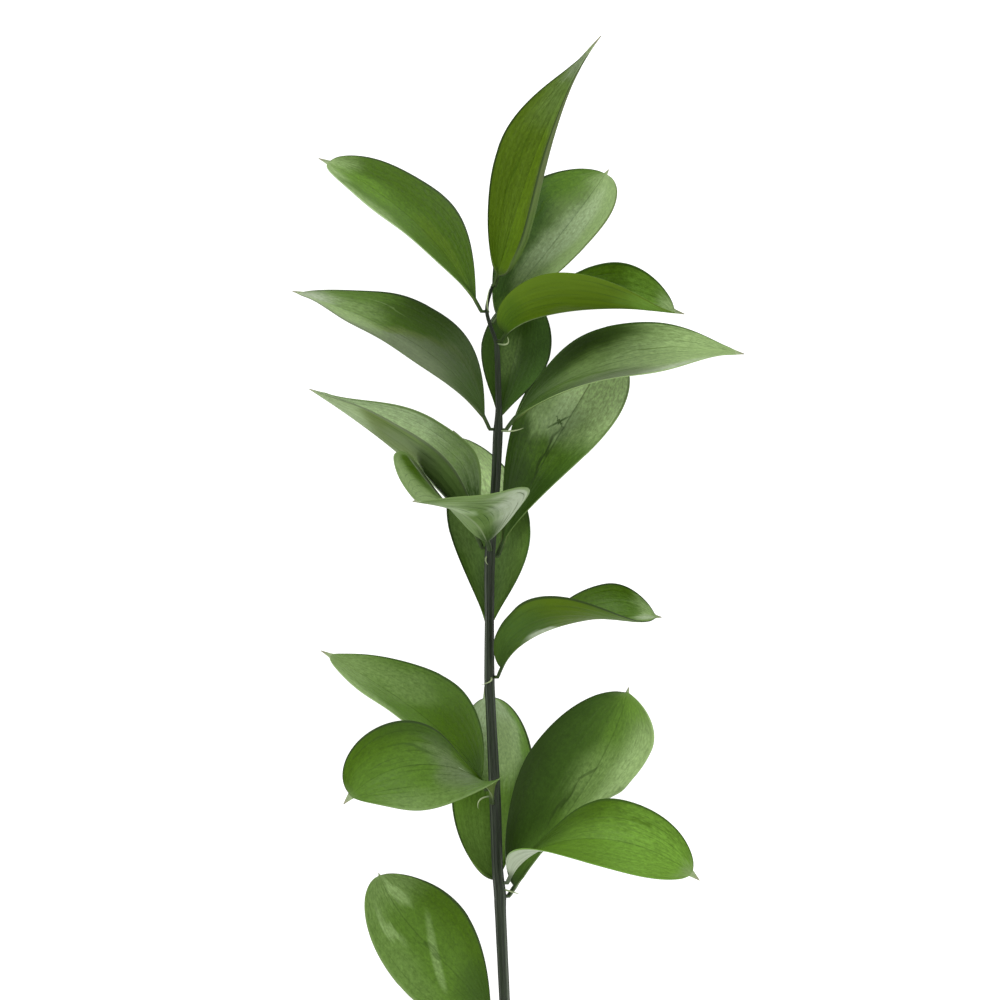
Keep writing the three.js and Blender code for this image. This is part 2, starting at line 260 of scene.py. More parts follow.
class LeafSkin(Skin):
    """A blade's material, with the places and the patterns that its colours are laid by. across
    is -1 at the left margin and 1 at the right. along is 0 where the blade starts, 1 where its
    point starts and 2 at the end of it. upper is 1 on the upper side and 0 underneath."""

    def __init__(self, name, seed):
        super().__init__(name)
        self.across, self.along, self.upper = map(self.layer, ("across", "along", "upper"))
        self.side = abs(self.across)
        x, y = self.across * HALF_WIDTH, self.along * LENGTH
        cloud = self.noise(self.vector(x * 0.1, y * 0.08, self.upper * 5 + seed), detail=2)
        self.streak = self.noise(self.vector(x * 0.9, y * 0.05, self.upper * 3 + seed))
        self.grain = self.noise(self.vector(x * 1.1, y * 0.6, seed))
        self.speck = self.noise(self.vector(x * 2.4, y * 1.6, seed), detail=1)
        # Patches lie by place and height: x and y in mm, stirred so that their edges are ragged.
        self.place = x + (cloud - 0.5) * 7 + (self.streak - 0.5) * 3
        self.height = y + (cloud - 0.5) * 12 + (self.streak - 0.5) * 6
        self.flecks = (self.grain - 0.5) * 0.9 + 1
        lines = (self.side * VEINS).math("PINGPONG", 0.5).over(0.12, 0) * self.side.over(1, 0.9)
        self.vein = lines * self.streak.over(0.42, 0.62)
        self.rib = self.side.over(0.03, 0)

    def toned(self, green, tones):
        """A colour with soft ovals of other tones laid over it, one after the other."""
        for tone, strength, (across, along), reach, turn in tones:
            middle = (across * HALF_WIDTH, along * LENGTH)
            oval = self.oval(self.place, self.height, middle, reach, turn)
            cover = oval * self.flecks * strength
            green = self.blend(cover.math("MINIMUM", 1), green, tone)
        return green

    def upper_side(self, left, middle, right, tones, fold, veins, midrib):
        shift, lean, soft = fold
        slide = self.place / HALF_WIDTH - shift + (self.height / LENGTH - 0.5) * lean
        # The left and right colours are partly painted shade and painted sheen, for how each half
        # of the folded blade meets the light.
        green = self.blend(slide.over(0, -soft), middle, left)
        green = self.blend(slide.over(0, soft), green, right)
        green = self.toned(green, tones)
        green = self.blend(self.vein * veins, green, DEEP)
        green = self.blend(self.rib * midrib, green, DEEP)
        return self.shade(green, (self.grain - 0.5) * 0.75 + (self.speck - 0.5) * 0.4 + 1)

    def under_side(self, under, tones, veins):
        green = self.toned(under, tones)
        lines = self.vein * veins * 1.6 + self.streak.over(0.42, 0.7) * 0.25
        green = self.blend(lines, green, DARK)
        return self.blend(self.rib * 0.4, green, POINT)

    def edged(self, green, rims):
        """A colour with the blade's thin margins, hard pale point and dark stalk laid over it."""
        rim = self.blend(self.across.over(-0.01, 0.01), *rims)
        margin = self.side.over(0.93, 0.97) * self.along.over(0.02, 0.2)
        green = self.blend(margin * 0.85, green, rim)
        green = self.blend(self.along.over(0.96, 1.1) * 0.6, green, POINT)
        green = self.blend(self.along.over(1.3, 1.8), green, DRY)
        return self.blend(self.along.over(0.05, -0.02) * 0.8, green, STALK)


def leaf_skin(name, seed, left, middle, right, under=MOSS, tones=(), under_tones=(),
              fold=(0, 0, 0.85), rims=(MARGIN, MARGIN), veins=0.2, midrib=0.3):
    """Blade skin: the colours of its left, middle and right, and of its underside. The left and
    right colours are partly the blade's own and partly painted shade and painted sheen, for how
    each half meets the light. A tone is a soft oval of another colour: some are painted sheen,
    painted light or painted shade, and some are the blade's own veins and marks. Each has its
    colour and strength, its middle across and along the blade, its half width and half length in mm
    and its turn. fold is where the middle lies, how much it leans to the left on the way to the
    tip, and how far from it the sides reach their colours.
    rims are the colours of the left and right margins, which are thin and dark or thin and pale.
    veins and midrib are how strongly those show."""
    skin = LeafSkin(name, seed)
    above = skin.upper_side(left, middle, right, tones, fold, veins, midrib)
    below = skin.under_side(under, under_tones, veins)
    green = skin.edged(skin.blend(skin.upper.over(0.45, 0.55), below, above), rims)
    rough = 0.38 + skin.grain * 0.14 + (1 - skin.upper) * 0.12
    relief = skin.vein * -0.3 + skin.streak * 0.1 + skin.grain * 0.7 + skin.speck * 0.3
    return skin.surface(green, rough, relief, LEAF_RELIEF, **LEAF_SHINE)


def stem_skin():
    """Ribbed bark: across runs once round the stem, from 0 at the side that faces up."""
    skin = Skin("stem_skin")
    along, around, ridge, pith = map(skin.layer, ("along", "across", "ridge", "pith"))
    grain = skin.noise(skin.vector(around * 40, along * 60, 0), detail=4)
    patch = skin.noise(skin.vector(around * 4, along * 26, 3), detail=2)
    green = skin.blend(grain.over(0.35, 0.7), BARK_DARK, BARK_LIGHT)
    green = skin.blend(patch.over(0.5, 0.7) * 0.4, green, BARK_PATCH)
    green = skin.blend(ridge.over(0.6, 1) * 0.2, green, BARK_RIDGE)
    # Painted highlights: a pale line along the left side of the stem's upper part, and one along
    # the right side of its lower part.
    upper_left_highlight = around.near(0.87, 0.05) * along.near(0.62, 0.3)
    lower_right_highlight = around.near(0.13, 0.08) * along.over(0.5, 0.3)
    green = skin.blend((upper_left_highlight + lower_right_highlight) * 0.55, green, BARK_HIGHLIGHT)
    green = skin.blend(pith.over(0.4, 0.6), green, PITH)
    return skin.surface(green, 0.42 + grain * 0.2, grain + ridge, BARK_RELIEF, **BARK_SHINE)


def bract_skin():
    skin = Skin("bract_skin")
    along = skin.layer("along")
    papery = skin.blend(along.over(0, 0.5), BRACT_ROOT, BRACT_END)
    return skin.surface(papery, 0.55 + along * 0.1, along, BRACT_RELIEF)


# ---- Meshes -------------------------------------------------------------------------------------
def finish_piece(name, points, faces, layers, material, slot, *nodes):
    """A smooth mesh piece from points in the stem's frame, which stands for its nodes."""
    mesh = bpy.data.meshes.new(name)
    mesh.from_pydata(lying(points).tolist(), [], faces)
    for layer, numbers in layers.items():
        mesh.attributes.new(layer, "FLOAT", "POINT").data.foreach_set("value", numbers)
    mesh.shade_smooth()
    mesh.materials.append(material)
    piece = bpy.data.objects.new(name, mesh)
    bpy.context.collection.objects.link(piece)
    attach(piece, "root")
    if nodes:
        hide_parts(*nodes)


def quads(rows, columns, start=0, closed=False):
    """Faces of a grid of points, row by row; a closed grid joins its last column to its first."""
    faces = []
    for i in range(rows - 1):
        for j in range(columns if closed else columns - 1):
            a = start + i * columns + j
            b = start + i * columns + (j + 1) % columns
            faces.append((a, b, b + columns, a + columns))
    return faces


# ---- Stem ---------------------------------------------------------------------------------------
# Axis points (x, y, z) with the stem's radius there; the nodes are slightly swollen.
STEM = [
    (2.8, -290, 0, 2.0),
    (3.6, -228, 0.6, 1.95),
    (2.6, -196, 0.3, 1.9),
    (1.6, -175, 0, 1.85),
    (0.2, -145, 0, 1.95),
    (0, -138, 0, 2.15),
    (-0.9, -128, 0, 1.9),
    (-1.75, -104, 0, 2.0),
    (-3.3, -72, 0, 1.75),
    (-3.7, -62, 0, 1.8),
    (-3.7, -42, 0, 1.6),
    (-3.5, -19, 0, 1.85),
    (-1.7, 3, 0, 1.6),
    (-0.7, 24, 0, 1.7),
    (-0.45, 32, 0, 1.1),
    (-1.0, 52, 0, 0.95),
    (-1.6, 56, 0, 0.75),
    (-4.6, 66, 0, 0.65),
    (-2.7, 75, 0, 0.55),
]
STEM_ROWS = np.array(STEM, float)
STEM_RIBS = 9
STEM_SIDES = STEM_RIBS * 6
STEM_STEP = 1.2  # mm from one ring of points to the next
RIDGE_DEPTH = 0.05  # the room that stalks leave for ridges, as a share of the stem's radius
RIB_DEPTH = RIDGE_DEPTH * 0.8  # how far the ribs themselves stand out and lie in
WOBBLES = 60  # small random swellings along the stem
WOBBLE_DEPTH = 0.012
CUT_SLOPE = 0.6  # rise of the slanted cut for each mm across it
CUT_CLEARANCE = 0.2
PITH_SHARE = 0.55
PITH_DENT = (0, 0.25, 0)  # mm that the middle of the pith is sunk by
SPLINE_STEPS = 4001


def spline(knots, t):
    """Catmull-Rom curve through knots at t from 0 to 1."""
    knots = np.asarray(knots, float)
    ends = np.vstack([2 * knots[0] - knots[1], knots, 2 * knots[-1] - knots[-2]])
    place = np.clip(np.asarray(t, float), 0, 1) * (len(knots) - 1)
    i = np.minimum(place.astype(int), len(knots) - 2)
    f = (place - i)[..., None]
    a, b, c, d = (ends[i + k] for k in range(4))
    rise, fall = (c - a) / 2, (d - b) / 2
    return (
        (2 * b - 2 * c + rise + fall) * f**3
        + (3 * c - 3 * b - 2 * rise - fall) * f**2
        + rise * f
        + b
    )


AXIS = spline(STEM_ROWS[:, :3], np.linspace(0, 1, SPLINE_STEPS))


def stem_axis(y):
    return np.stack([np.interp(y, AXIS[:, 1], AXIS[:, k]) for k in range(3)], -1)


def stem_radius(y):
    return np.interp(y, STEM_ROWS[:, 1], STEM_ROWS[:, 3])


def stem_rings(heights, angle, rib):
    """The bark's points, one ring for each height. The lowest ring follows the slanted cut, and
    the next keeps clear of it."""
    draws = random.Random(7)
    knots = [draws.uniform(-1, 1) for _ in range(WOBBLES)]
    wobble = np.interp(heights, np.linspace(heights[0], heights[-1], WOBBLES), knots)
    swell = 1 + RIB_DEPTH * rib + WOBBLE_DEPTH * wobble[:, None]
    radius = stem_radius(heights)[:, None] * swell
    x, z = radius * np.sin(angle), radius * np.cos(angle)
    y = np.repeat(heights[:, None], STEM_SIDES, 1)
    y[0] += CUT_SLOPE * x[0]
    y[1] = np.maximum(y[1], y[0] + CUT_CLEARANCE)
    axis = stem_axis(heights)
    return np.stack([axis[:, :1] + x, y, axis[:, 2:] + z], -1)


def stem_faces(rows):
    """The bark, the ring of rind and the pith at the cut end, and the small flat top."""
    faces = quads(rows, STEM_SIDES, closed=True)
    pith = rows * STEM_SIDES
    centre = pith + STEM_SIDES
    for j in range(STEM_SIDES):
        after = (j + 1) % STEM_SIDES
        faces.append((after, j, pith + j, pith + after))
        faces.append((pith + after, pith + j, centre))
    faces.append(list(range(pith - STEM_SIDES, pith)))
    return faces


def make_stem(material):
    bottom, top = STEM_ROWS[0, 1], STEM_ROWS[-1, 1]
    heights = np.linspace(bottom, top, round((top - bottom) / STEM_STEP))
    angle = np.linspace(0, 2 * math.pi, STEM_SIDES, endpoint=False)
    rib = np.cos(angle * STEM_RIBS)
    rings = stem_rings(heights, angle, rib)
    middle = rings[0].mean(0)
    pith = middle + (rings[0] - middle) * PITH_SHARE
    points = np.vstack([rings.reshape(-1, 3), pith, middle[None] + PITH_DENT])
    rows, extra = len(heights), STEM_SIDES + 1
    along = np.repeat((heights - bottom) / (top - bottom), STEM_SIDES)
    layers = {
        "along": np.append(along, np.zeros(extra)),
        "across": np.append(np.tile(angle / (2 * math.pi), rows), np.zeros(extra)),
        "ridge": np.append(np.tile((rib + 1) / 2, rows), np.zeros(extra)),
        "pith": np.append(np.zeros(rows * STEM_SIDES), np.ones(extra)),
    }
    finish_piece("stem_bark", points, stem_faces(rows), layers, material, "stem", "main_stem")


# ---- Bracts -------------------------------------------------------------------------------------
# Thin papery scales at the nodes, each as (root, bend, end); the root lies inside the stem.
BRACTS = [
    ((-3.9, 65.6, 0.2), (-5.2, 68.5, 1.2), (-3.6, 74.2, 1.6)),
    ((-1.2, 54.8, 0.4), (4.2, 53.2, 2.2), (2.6, 57.0, 3.0)),
    ((-0.7, 24.4, 0.8), (4.5, 23.4, 2.2), (8.2, 25.2, 2.6)),
    ((-3.5, -18.6, 0.6), (-6.2, -20.6, 2.0), (-4.2, -22.6, 2.9)),
    ((-3.7, -61.6, 0.9), (-1.2, -63.2, 3.2), (-6.6, -64.6, 2.4)),
    ((-3.0, -103.6, 0.8), (-8.6, -103.8, 2.4), (-7.6, -107.8, 3.2)),
    ((-0.3, -135.8, 0.6), (4.2, -137.0, 1.0), (6.8, -137.8, 1.8)),
]
BRACT_STEPS = 24
BRACT_SIDES = 10
BRACT_WIDTH = 0.34
BRACT_THICKNESS = 0.2
BRACT_TAPER = 0.6
BRACT_END_WIDTH = 0.05


def make_bract(number, knots, material):
    root, bend, end = (np.array(knot) for knot in knots)
    t = np.linspace(0, 1, BRACT_STEPS)[:, None]
    centre = root * (1 - t) ** 2 + bend * 2 * t * (1 - t) + end * t**2
    onward = unit(np.gradient(centre, axis=0))
    flat = unit(np.cross(onward, (0, 0, 1)))
    up = np.cross(flat, onward)
    angle = np.linspace(0, 2 * math.pi, BRACT_SIDES, endpoint=False)
    belly = 0.7 + 1.2 * t * (1 - t)
    width = BRACT_WIDTH * (1 - t) ** BRACT_TAPER * belly + BRACT_END_WIDTH
    thick = BRACT_THICKNESS * (1 - BRACT_TAPER * t)
    ring = (
        centre[:, None]
        + (width * np.cos(angle))[..., None] * flat[:, None]
        + (thick * np.sin(angle))[..., None] * up[:, None]
    )
    faces = quads(BRACT_STEPS, BRACT_SIDES, closed=True)
    faces.append(list(range(BRACT_SIDES))[::-1])
    faces.append([(BRACT_STEPS - 1) * BRACT_SIDES + j for j in range(BRACT_SIDES)])
    layers = {"along": np.repeat(t[:, 0], BRACT_SIDES)}
    finish_piece(f"bract_{number}", ring.reshape(-1, 3), faces, layers, material, "stem")


# ---- Blades -------------------------------------------------------------------------------------
# A blade's midrib is a Bezier curve: it starts on the stem at height `at` and bearing `side`
# (0 = right, 90 = up off the floor, 180 = left), leaves towards `leave`, comes in from `arrive`
# and ends at `tip`. `face` is where the upper side looks and `cup` how far both halves lift from
# flat, in degrees; each is given at the base, the middle and the tip. `width` is a half's widest,
# in mm, and `widest` the share of the blade's length where it is. `full` and `taper` are how a
# half swells up to there and thins after it: the smaller, the blunter. `point` is the length of
# the drawn-out tip in mm, and `spread` how fast that widens. What `left` or `right` holds is for
# that half alone.
BLADES = [
    dict(
        name="leaf_01", at=-185.5, side=170,
        leave=(-9, -166, 3), arrive=(-34, -153.5, 6), tip=(-42.5, -130.5, 0),
        width=16.5, widest=0.58, full=0.9, taper=0.5, point=1,
        face=((0, 0.2, 1), (0, 0.1, 1), (0.1, 0.2, 1)),
        cup=(30, 12, 12),
        left=dict(width=17.3, widest=0.42, full=0.55),
        right=dict(width=18, full=1.25),
    ),
    dict(
        name="leaf_02", at=-134, side=20,
        leave=(8.5, -115, 14), arrive=(44, -109.5, 24), tip=(69, -131.5, 20),
        width=17, widest=0.5, full=0.8, taper=0.6,
        face=((0, 1, 0), (0, 0.62, 0.78), (0.1, 0.3, 0.95)),
        cup=(50, 28, 18),
        left=dict(width=14.3, full=2.6, widest=0.6),
    ),
    dict(
        name="leaf_03", at=-138.6, side=-25,
        leave=(12.5, -123, 3), arrive=(39, -95, 4), tip=(45, -65.5, 0),
        width=20.5, widest=0.55, full=0.85, taper=0.5, point=2,
        face=[(-0.3, 0.2, 0.93)] * 3,
        cup=(35, 22, 12),
        left=dict(width=23, full=0.68, taper=0.44),
        right=dict(width=17.3, widest=0.8, full=3.2, taper=0.8),
    ),
    dict(
        name="leaf_04", at=-136.5, side=262,
        leave=(-7, -120, -11), arrive=(0, -92, -18), tip=(-5.5, -66, -16),
        width=17.5, widest=0.52, full=0.6, taper=0.45,
        face=[(0, 0.1, 1)] * 3,
        cup=(45, 32, 20),
        left=dict(width=16.2, widest=0.42, full=0.5),
    ),
    dict(
        name="leaf_05", at=-106, side=110,
        leave=(0, -94, 22), arrive=(-34, -79.5, 42), tip=(-53.5, -104, 38),
        width=16.5, widest=0.55, taper=0.5,
        face=((-0.3, 1, 0.1), (0.2, 0.35, 0.9), (-0.1, 0.2, 0.97)),
        cup=(60, 20, 12),
        left=dict(width=18, widest=0.6, full=1.1, taper=0.65, cup=(80, 26, 12)),
        right=dict(width=15.8, widest=0.7, full=3.8),
    ),
    dict(
        name="leaf_06", at=-101.5, side=190,
        leave=(-13, -84, -4), arrive=(-34, -69.5, -6), tip=(-63, -53, -8),
        width=15.2, taper=0.85,
        face=[(0.475, 0.6, 0.64)] * 3,
        cup=(30, 22, 15),
        left=dict(taper=0.55),
        right=dict(width=17.5, widest=0.42),
    ),
    dict(
        name="leaf_07", at=-62, side=15,
        leave=(5, -42.5, 8), arrive=(35, -39, 10), tip=(56.5, -41, 2),
        width=18.8, widest=0.48, full=0.75, taper=0.85, point=2.5,
        face=((-0.6, 0.5, -0.6), (0, 0.99, 0.08), (0.1, 0.2, 1.1)),
        cup=(35, 36, 45),
        left=dict(width=12.4, widest=0.72, full=1.3),
    ),
    dict(
        name="leaf_08", at=-49, side=258,
        leave=(-3, -28, -12), arrive=(-2, 4.5, -24), tip=(-16.5, 24.5, -16),
        width=17.5, full=1.1,
        face=[(0, 0.1, 1)] * 3,
        cup=(40, 30, 20),
        left=dict(width=15.2, widest=0.55, full=1.1),
    ),
    dict(
        name="leaf_09", at=-17.5, side=92,
        leave=(-7, -3, 10), arrive=(-18.5, -2, 32), tip=(-29.5, -0.5, 55),
        width=23.8, widest=0.3, full=0.8, taper=0.95,
        face=((0.1, 0.5, -0.85), (0.26, 0.97, -0.1), (0.3, 0.9, 0.3)),
        cup=(30, 29, 36),
        right=dict(width=28.6, widest=0.52, full=0.62, taper=0.58, cup=(34, 33, 14)),
    ),
    dict(
        name="leaf_10", at=-19.6, side=-30,
        leave=(6.5, 2, -5), arrive=(27.5, 32.5, -17), tip=(40.5, 56, -23),
        width=19.5, widest=0.62, full=1.2, taper=0.6,
        face=[(-0.15, 0.08, 1)] * 3,
        cup=(35, 35, 20),
        right=dict(width=18.8, full=1.5, widest=0.7, taper=0.4),
    ),
    dict(
        name="leaf_11", at=-16.8, side=185,
        leave=(-10.5, -5.5, -2), arrive=(-31, 16.5, 2), tip=(-67, 39, -6),
        width=18.5, widest=0.42, taper=1.1, point=3,
        face=[(0.6, 0.63, 0.48)] * 3,
        cup=(60, 60, 60),
        left=dict(width=18, widest=0.37, full=0.85),
        right=dict(width=19, widest=0.33, full=1.5, taper=1.2),
    ),
    dict(
        name="leaf_12", at=24.5, side=0,
        leave=(10.5, 38.5, 0), arrive=(42, 56.5, -8), tip=(87, 52, -27.78),
        width=17.5, widest=0.44, full=0.65, taper=1.2,
        face=((-0.3, 0.6, 0.7), (-0.2, 0.7, 0.7), (0, 0.6, 0.7)),
        cup=(45, 20, 20),
        left=dict(width=14, full=1.3, widest=0.52, taper=0.95, cup=(45, 30, 30)),
    ),
    dict(
        name="leaf_13", at=26, side=265,
        leave=(2.5, 42.5, -12), arrive=(10.5, 64, -20), tip=(6.5, 75.5, -18),
        width=13.4, widest=0.52, taper=0.45,
        face=[(0, 0.1, 1)] * 3,
        cup=(40, 26, 20),
    ),
    dict(
        name="leaf_14", at=24.8, side=180,
        leave=(-13.5, 48.5, 0), arrive=(-35, 61, -6), tip=(-74, 74.5, -29.5),
        width=20, widest=0.37, taper=1.3,
        face=[(0.4, 0.64, 0.65)] * 3,
        cup=(30, 22, 15),
        right=dict(width=16.5, widest=0.45, full=1.1, taper=0.75),
    ),
    dict(
        name="leaf_15", at=55.5, side=20,
        leave=(5, 66, 8), arrive=(35, 69.5, 10), tip=(64.5, 65, 2),
        width=17.2, widest=0.46, full=0.4, taper=0.65,
        face=((-0.6, 0.45, -0.65), (0, 0.97, 0.25), (0.1, 0.5, 0.85)),
        cup=(35, 56, 50),
        left=dict(width=16.2, widest=0.62, full=1),
        right=dict(taper=1.15),
    ),
    dict(
        name="leaf_16", at=66, side=175,
        leave=(-17.5, 87, -3), arrive=(-33.5, 105.5, -6), tip=(-64, 120.5, -12),
        width=14.6, widest=0.5, full=1.1, taper=0.6,
        face=[(0.45, 0.55, 0.7)] * 3,
        cup=(30, 20, 15),
        left=dict(taper=0.48),
        right=dict(width=15.4, taper=0.5),
    ),
    dict(
        name="leaf_17", at=62, side=300,
        leave=(4, 73, -9), arrive=(23.5, 94.5, -14), tip=(38.5, 117, -18),
        width=17, widest=0.6, taper=0.55, point=2,
        face=[(-0.27, 0.28, 0.92)] * 3,
        cup=(30, 33, 15),
        left=dict(width=20, full=0.75),
        right=dict(width=16.6, widest=0.62, full=0.6, taper=0.45),
    ),
    dict(
        name="leaf_18", at=76.5, side=60,
        leave=(5, 98, 4), arrive=(13, 134, 10), tip=(35, 161, 14),
        width=17.3, widest=0.22, full=0.5, taper=1.35, point=8, spread=0.12,
        face=[(-0.3, 0.13, 0.94)] * 3,
        cup=(45, 48, 50),
        left=dict(width=14.4, widest=0.54, full=0.72, taper=1.4),
    ),
]

# What a blade or a half has where it names nothing else.
PLAIN = {"widest": 0.48, "full": 0.95, "taper": 0.75, "point": 4, "spread": 0.3}

STALK_STAND = 1.2  # mm from the room for ridges to where the midrib's curve starts
STALK_LENGTH = 4
STALK_RADIUS = 0.62
STALK_THICKNESS = STALK_RADIUS * 1.7
STALK_DEPTH = 0.6  # a stalk runs in until it is this share of the radius from the stem's axis
TAIL_END = 0.1  # half width in mm at the very end of the drawn-out tip
TAIL_ROOT = 1.8  # the most half width that it has
V_SHARE = 0.45  # the share of a half's lift that it has at the midrib already

BLADE_ROWS = 84
EVEN_SHARE = 0.35  # rows lie closer together at both ends; this share of their spacing is even
STALK_ROWS = 6
POINT_ROWS = 8
MIDRIB_STEPS = 401
BLADE_VEINS = 5  # raised veins in each half
VEIN_HALF_WIDTH = 0.02
VEIN_HEIGHT = 0.05
RIB_HEIGHT = 0.3
RIB_HALF_WIDTH = 0.05
RIB_GROOVE = 0.35  # how deep the midrib lies above, as a share of how far it stands out beneath
BLADE_THICKNESS = 0.46
EDGE_THICKNESS = 0.26
TIP_THINNING = 0.7
WAVE = 0.45
WAVES = (1.6, 2.6)  # the fewest and the most waves along a margin


def threeway(stops, f):
    """A smooth run through three values given at f = 0, 0.5 and 1."""
    base, middle, tip = (np.asarray(stop, float) for stop in stops)
    return base * (1 - f) * (1 - 2 * f) + middle * 4 * f * (1 - f) + tip * f * (2 * f - 1)


def outline(f, widest, full, taper):
    """How wide a half is, as a share of its widest, from the stalk (0) to the point (1)."""
    rise = np.sin(math.pi / 2 * np.clip(f / widest, 0, 1)) ** full
    fall = np.cos(math.pi / 2 * np.clip((f - widest) / (1 - widest), 0, 1)) ** taper
    return np.where(f < widest, rise, fall)


def half_width(half, share, left):
    """A half's width in mm, with its stalk and its drawn-out tip; left is the length to go."""
    wide = outline(np.clip(share, 0, 1), half["widest"], half["full"], half["taper"])
    wide = half["width"] * wide
    tail = np.minimum(half["spread"] * left + TAIL_END, TAIL_ROOT)
    return np.where(share < 0.5, np.maximum(wide, STALK_RADIUS), np.hypot(wide, tail))


def across_stations():
    """Places across a half, 0 to 1, with three at each raised vein and more near the edge."""
    places = {0, 0.02, 0.87, 0.9, 0.93, 0.96, 0.985, 1}
    for vein in range(1, BLADE_VEINS + 1):
        middle = vein / (BLADE_VEINS + 1)
        places |= {middle - VEIN_HALF_WIDTH, middle, middle + VEIN_HALF_WIDTH}
        places.add(middle - 0.5 / (BLADE_VEINS + 1))
    return np.array(sorted(places))


def vein_relief(side):
    """1 on a raised vein and 0 beside it."""
    place = side * (BLADE_VEINS + 1)
    away = np.abs(place - np.round(place)) / (BLADE_VEINS + 1)
    inside = (side > 0.1) & (side < 0.9)
    return np.clip(1 - away / VEIN_HALF_WIDTH, 0, 1) * inside


# Margins that roll over the upper side, or under the blade where the turn is negative:
# (start, end, share of the half that rolls, turn in degrees).
ROLLS = {
    ("leaf_18", "right"): (0.02, 0.97, 0.2, 150),
    ("leaf_03", "right"): (0.02, 0.62, 0.36, -150),
    ("leaf_07", "right"): (0.1, 0.3, 0.1, -100),
    ("leaf_15", "left"): (0.1, 0.2, 0.1, 120),
    ("leaf_14", "left"): (0.2, 0.8, 0.06, 60),
}
ROLL_EASE = 0.07
LEAST_TURN = 0.001  # radians, so that a flat margin isn't divided by 0


def half_section(side, wide, lift, within, roll):
    """How far out and up from the midrib a place across a half lies, for each row."""
    angle = lift * (V_SHARE + (1 - V_SHARE) * side)
    reach = wide * side
    out, rise = reach * np.cos(angle), reach * np.sin(angle)
    if roll is None or side <= 1 - roll[2]:
        return out, rise
    start, end, strip, turn = roll
    rolled = ease(within, start - ROLL_EASE, start + ROLL_EASE)
    rolled = rolled * ease(within, end + ROLL_EASE, end - ROLL_EASE)
    crease = 1 - strip
    first = lift * (V_SHARE + (1 - V_SHARE) * crease)
    heading = first + lift * (1 - V_SHARE) * crease
    turned = np.radians(turn) * rolled * (side - crease) / strip
    turned = np.where(np.abs(turned) < LEAST_TURN, LEAST_TURN, turned)
    arc = wide * (side - crease) / turned
    curl_out = wide * crease * np.cos(first) + arc * (np.sin(heading + turned) - np.sin(heading))
    curl_rise = wide * crease * np.sin(first) + arc * (np.cos(heading) - np.cos(heading + turned))
    return lerp(out, curl_out, rolled), lerp(rise, curl_rise, rolled)


class Midrib:
    """The curve of a blade's middle, by distance from where it leaves the stem."""

    def __init__(self, blade):
        bearing = math.radians(blade["side"])
        self.out = np.array([math.cos(bearing), 0, math.sin(bearing)])
        radius = stem_radius(blade["at"])
        stand = radius * (1 + RIDGE_DEPTH) + STALK_STAND
        start = stem_axis(blade["at"]) + self.out * stand
        t = np.linspace(0, 1, MIDRIB_STEPS)[:, None]
        leave, arrive, tip = (np.array(blade[key], float) for key in ("leave", "arrive", "tip"))
        curve = start * (1 - t) ** 3 + leave * 3 * t * (1 - t) ** 2 + arrive * 3 * t * t * (1 - t)
        self.points = curve + tip * t**3
        steps = np.linalg.norm(np.diff(self.points, axis=0), axis=1)
        self.distances = np.append(0, np.cumsum(steps))
        self.length = self.distances[-1]
        self.tangents = unit(np.gradient(self.points, axis=0))
        self.sunk = stand - radius * STALK_DEPTH

    def at(self, distance):
        """Centres and directions; a distance below 0 runs on into the stem."""
        place = np.clip(distance, 0, None)
        centre, along = (
            np.stack([np.interp(place, self.distances, row[:, k]) for k in range(3)], -1)
            for row in (self.points, self.tangents)
        )
        return centre + np.clip(distance, None, 0)[:, None] * self.out, unit(along)

    def rows(self, point):
        """Where rows of points lie: each one's distance, its share of the blade between stalk
        and point, and its share of the point."""
        blade_length = self.length - STALK_LENGTH - point
        turn = np.linspace(0, math.pi, BLADE_ROWS)
        run = lerp(0.5 - 0.5 * np.cos(turn), turn / math.pi, EVEN_SHARE)
        distance = np.concatenate([
            [-self.sunk],
            np.linspace(0, STALK_LENGTH, STALK_ROWS)[:-1],
            STALK_LENGTH + blade_length * run,
            self.length - point * np.linspace(1, 0, POINT_ROWS)[1:],
        ])
        beyond = distance - STALK_LENGTH
        return distance, beyond / blade_length, (beyond - blade_length) / point


def middle_surface(blade, rib, distance, share, draws):
    """A blade's points halfway through it, row by row, and each column's place across it."""
    f = np.clip(distance / rib.length, 0, 1)
    within = np.clip(share, 0, 1)
    centre, along = rib.at(distance)
    up = threeway(blade["face"], f[:, None])
    up = unit(up - (up * along).sum(-1, keepdims=True) * along)
    right = np.cross(along, up)
    places = across_stations()
    columns, across = [], []
    for hand, key in ((-1, "left"), (1, "right")):
        half = {**blade, **blade.get(key, {})}
        wide = half_width(half, share, rib.length - distance)
        lift = np.radians(threeway(half["cup"], f))
        phase, waves = draws.uniform(0, 1), draws.uniform(*WAVES)
        wave = np.sin(2 * math.pi * (waves * within + phase)) * np.sin(math.pi * within) ** 0.7
        roll = ROLLS.get((blade["name"], key))
        # The left half runs in from its margin and leaves the midrib itself to the right half.
        for side in places if hand > 0 else places[:0:-1]:
            out, rise = half_section(side, wide, lift, within, roll)
            rise = rise + WAVE * wave * side**2
            columns.append(centre + (hand * out)[:, None] * right + rise[:, None] * up)
            across.append(hand * side)
    return np.stack(columns, 1), np.array(across)


def stand_offs(share, side):
    """How far the upper and the lower side stand off the middle surface, in mm."""
    within = np.clip(share, 0, 1)
    slim = lerp(BLADE_THICKNESS, EDGE_THICKNESS, ease(side, 0.6, 1))
    thick = lerp(STALK_THICKNESS, slim[None], ease(within, 0, 0.12)[:, None])
    thick = thick * lerp(1, TIP_THINNING, ease(share, 0.99, 1.03))[:, None]
    body = ease(within, 0.02, 0.2) * ease(within, 1, 0.85)
    veins = VEIN_HEIGHT * vein_relief(side) * body[:, None]
    ribline = np.clip(1 - side / RIB_HALF_WIDTH, 0, 1)
    keel = RIB_HEIGHT * ribline * (ease(within, 0, 0.1) * (1 - within) ** 0.8)[:, None]
    return thick / 2 + veins - keel * RIB_GROOVE, thick / 2 + veins + keel


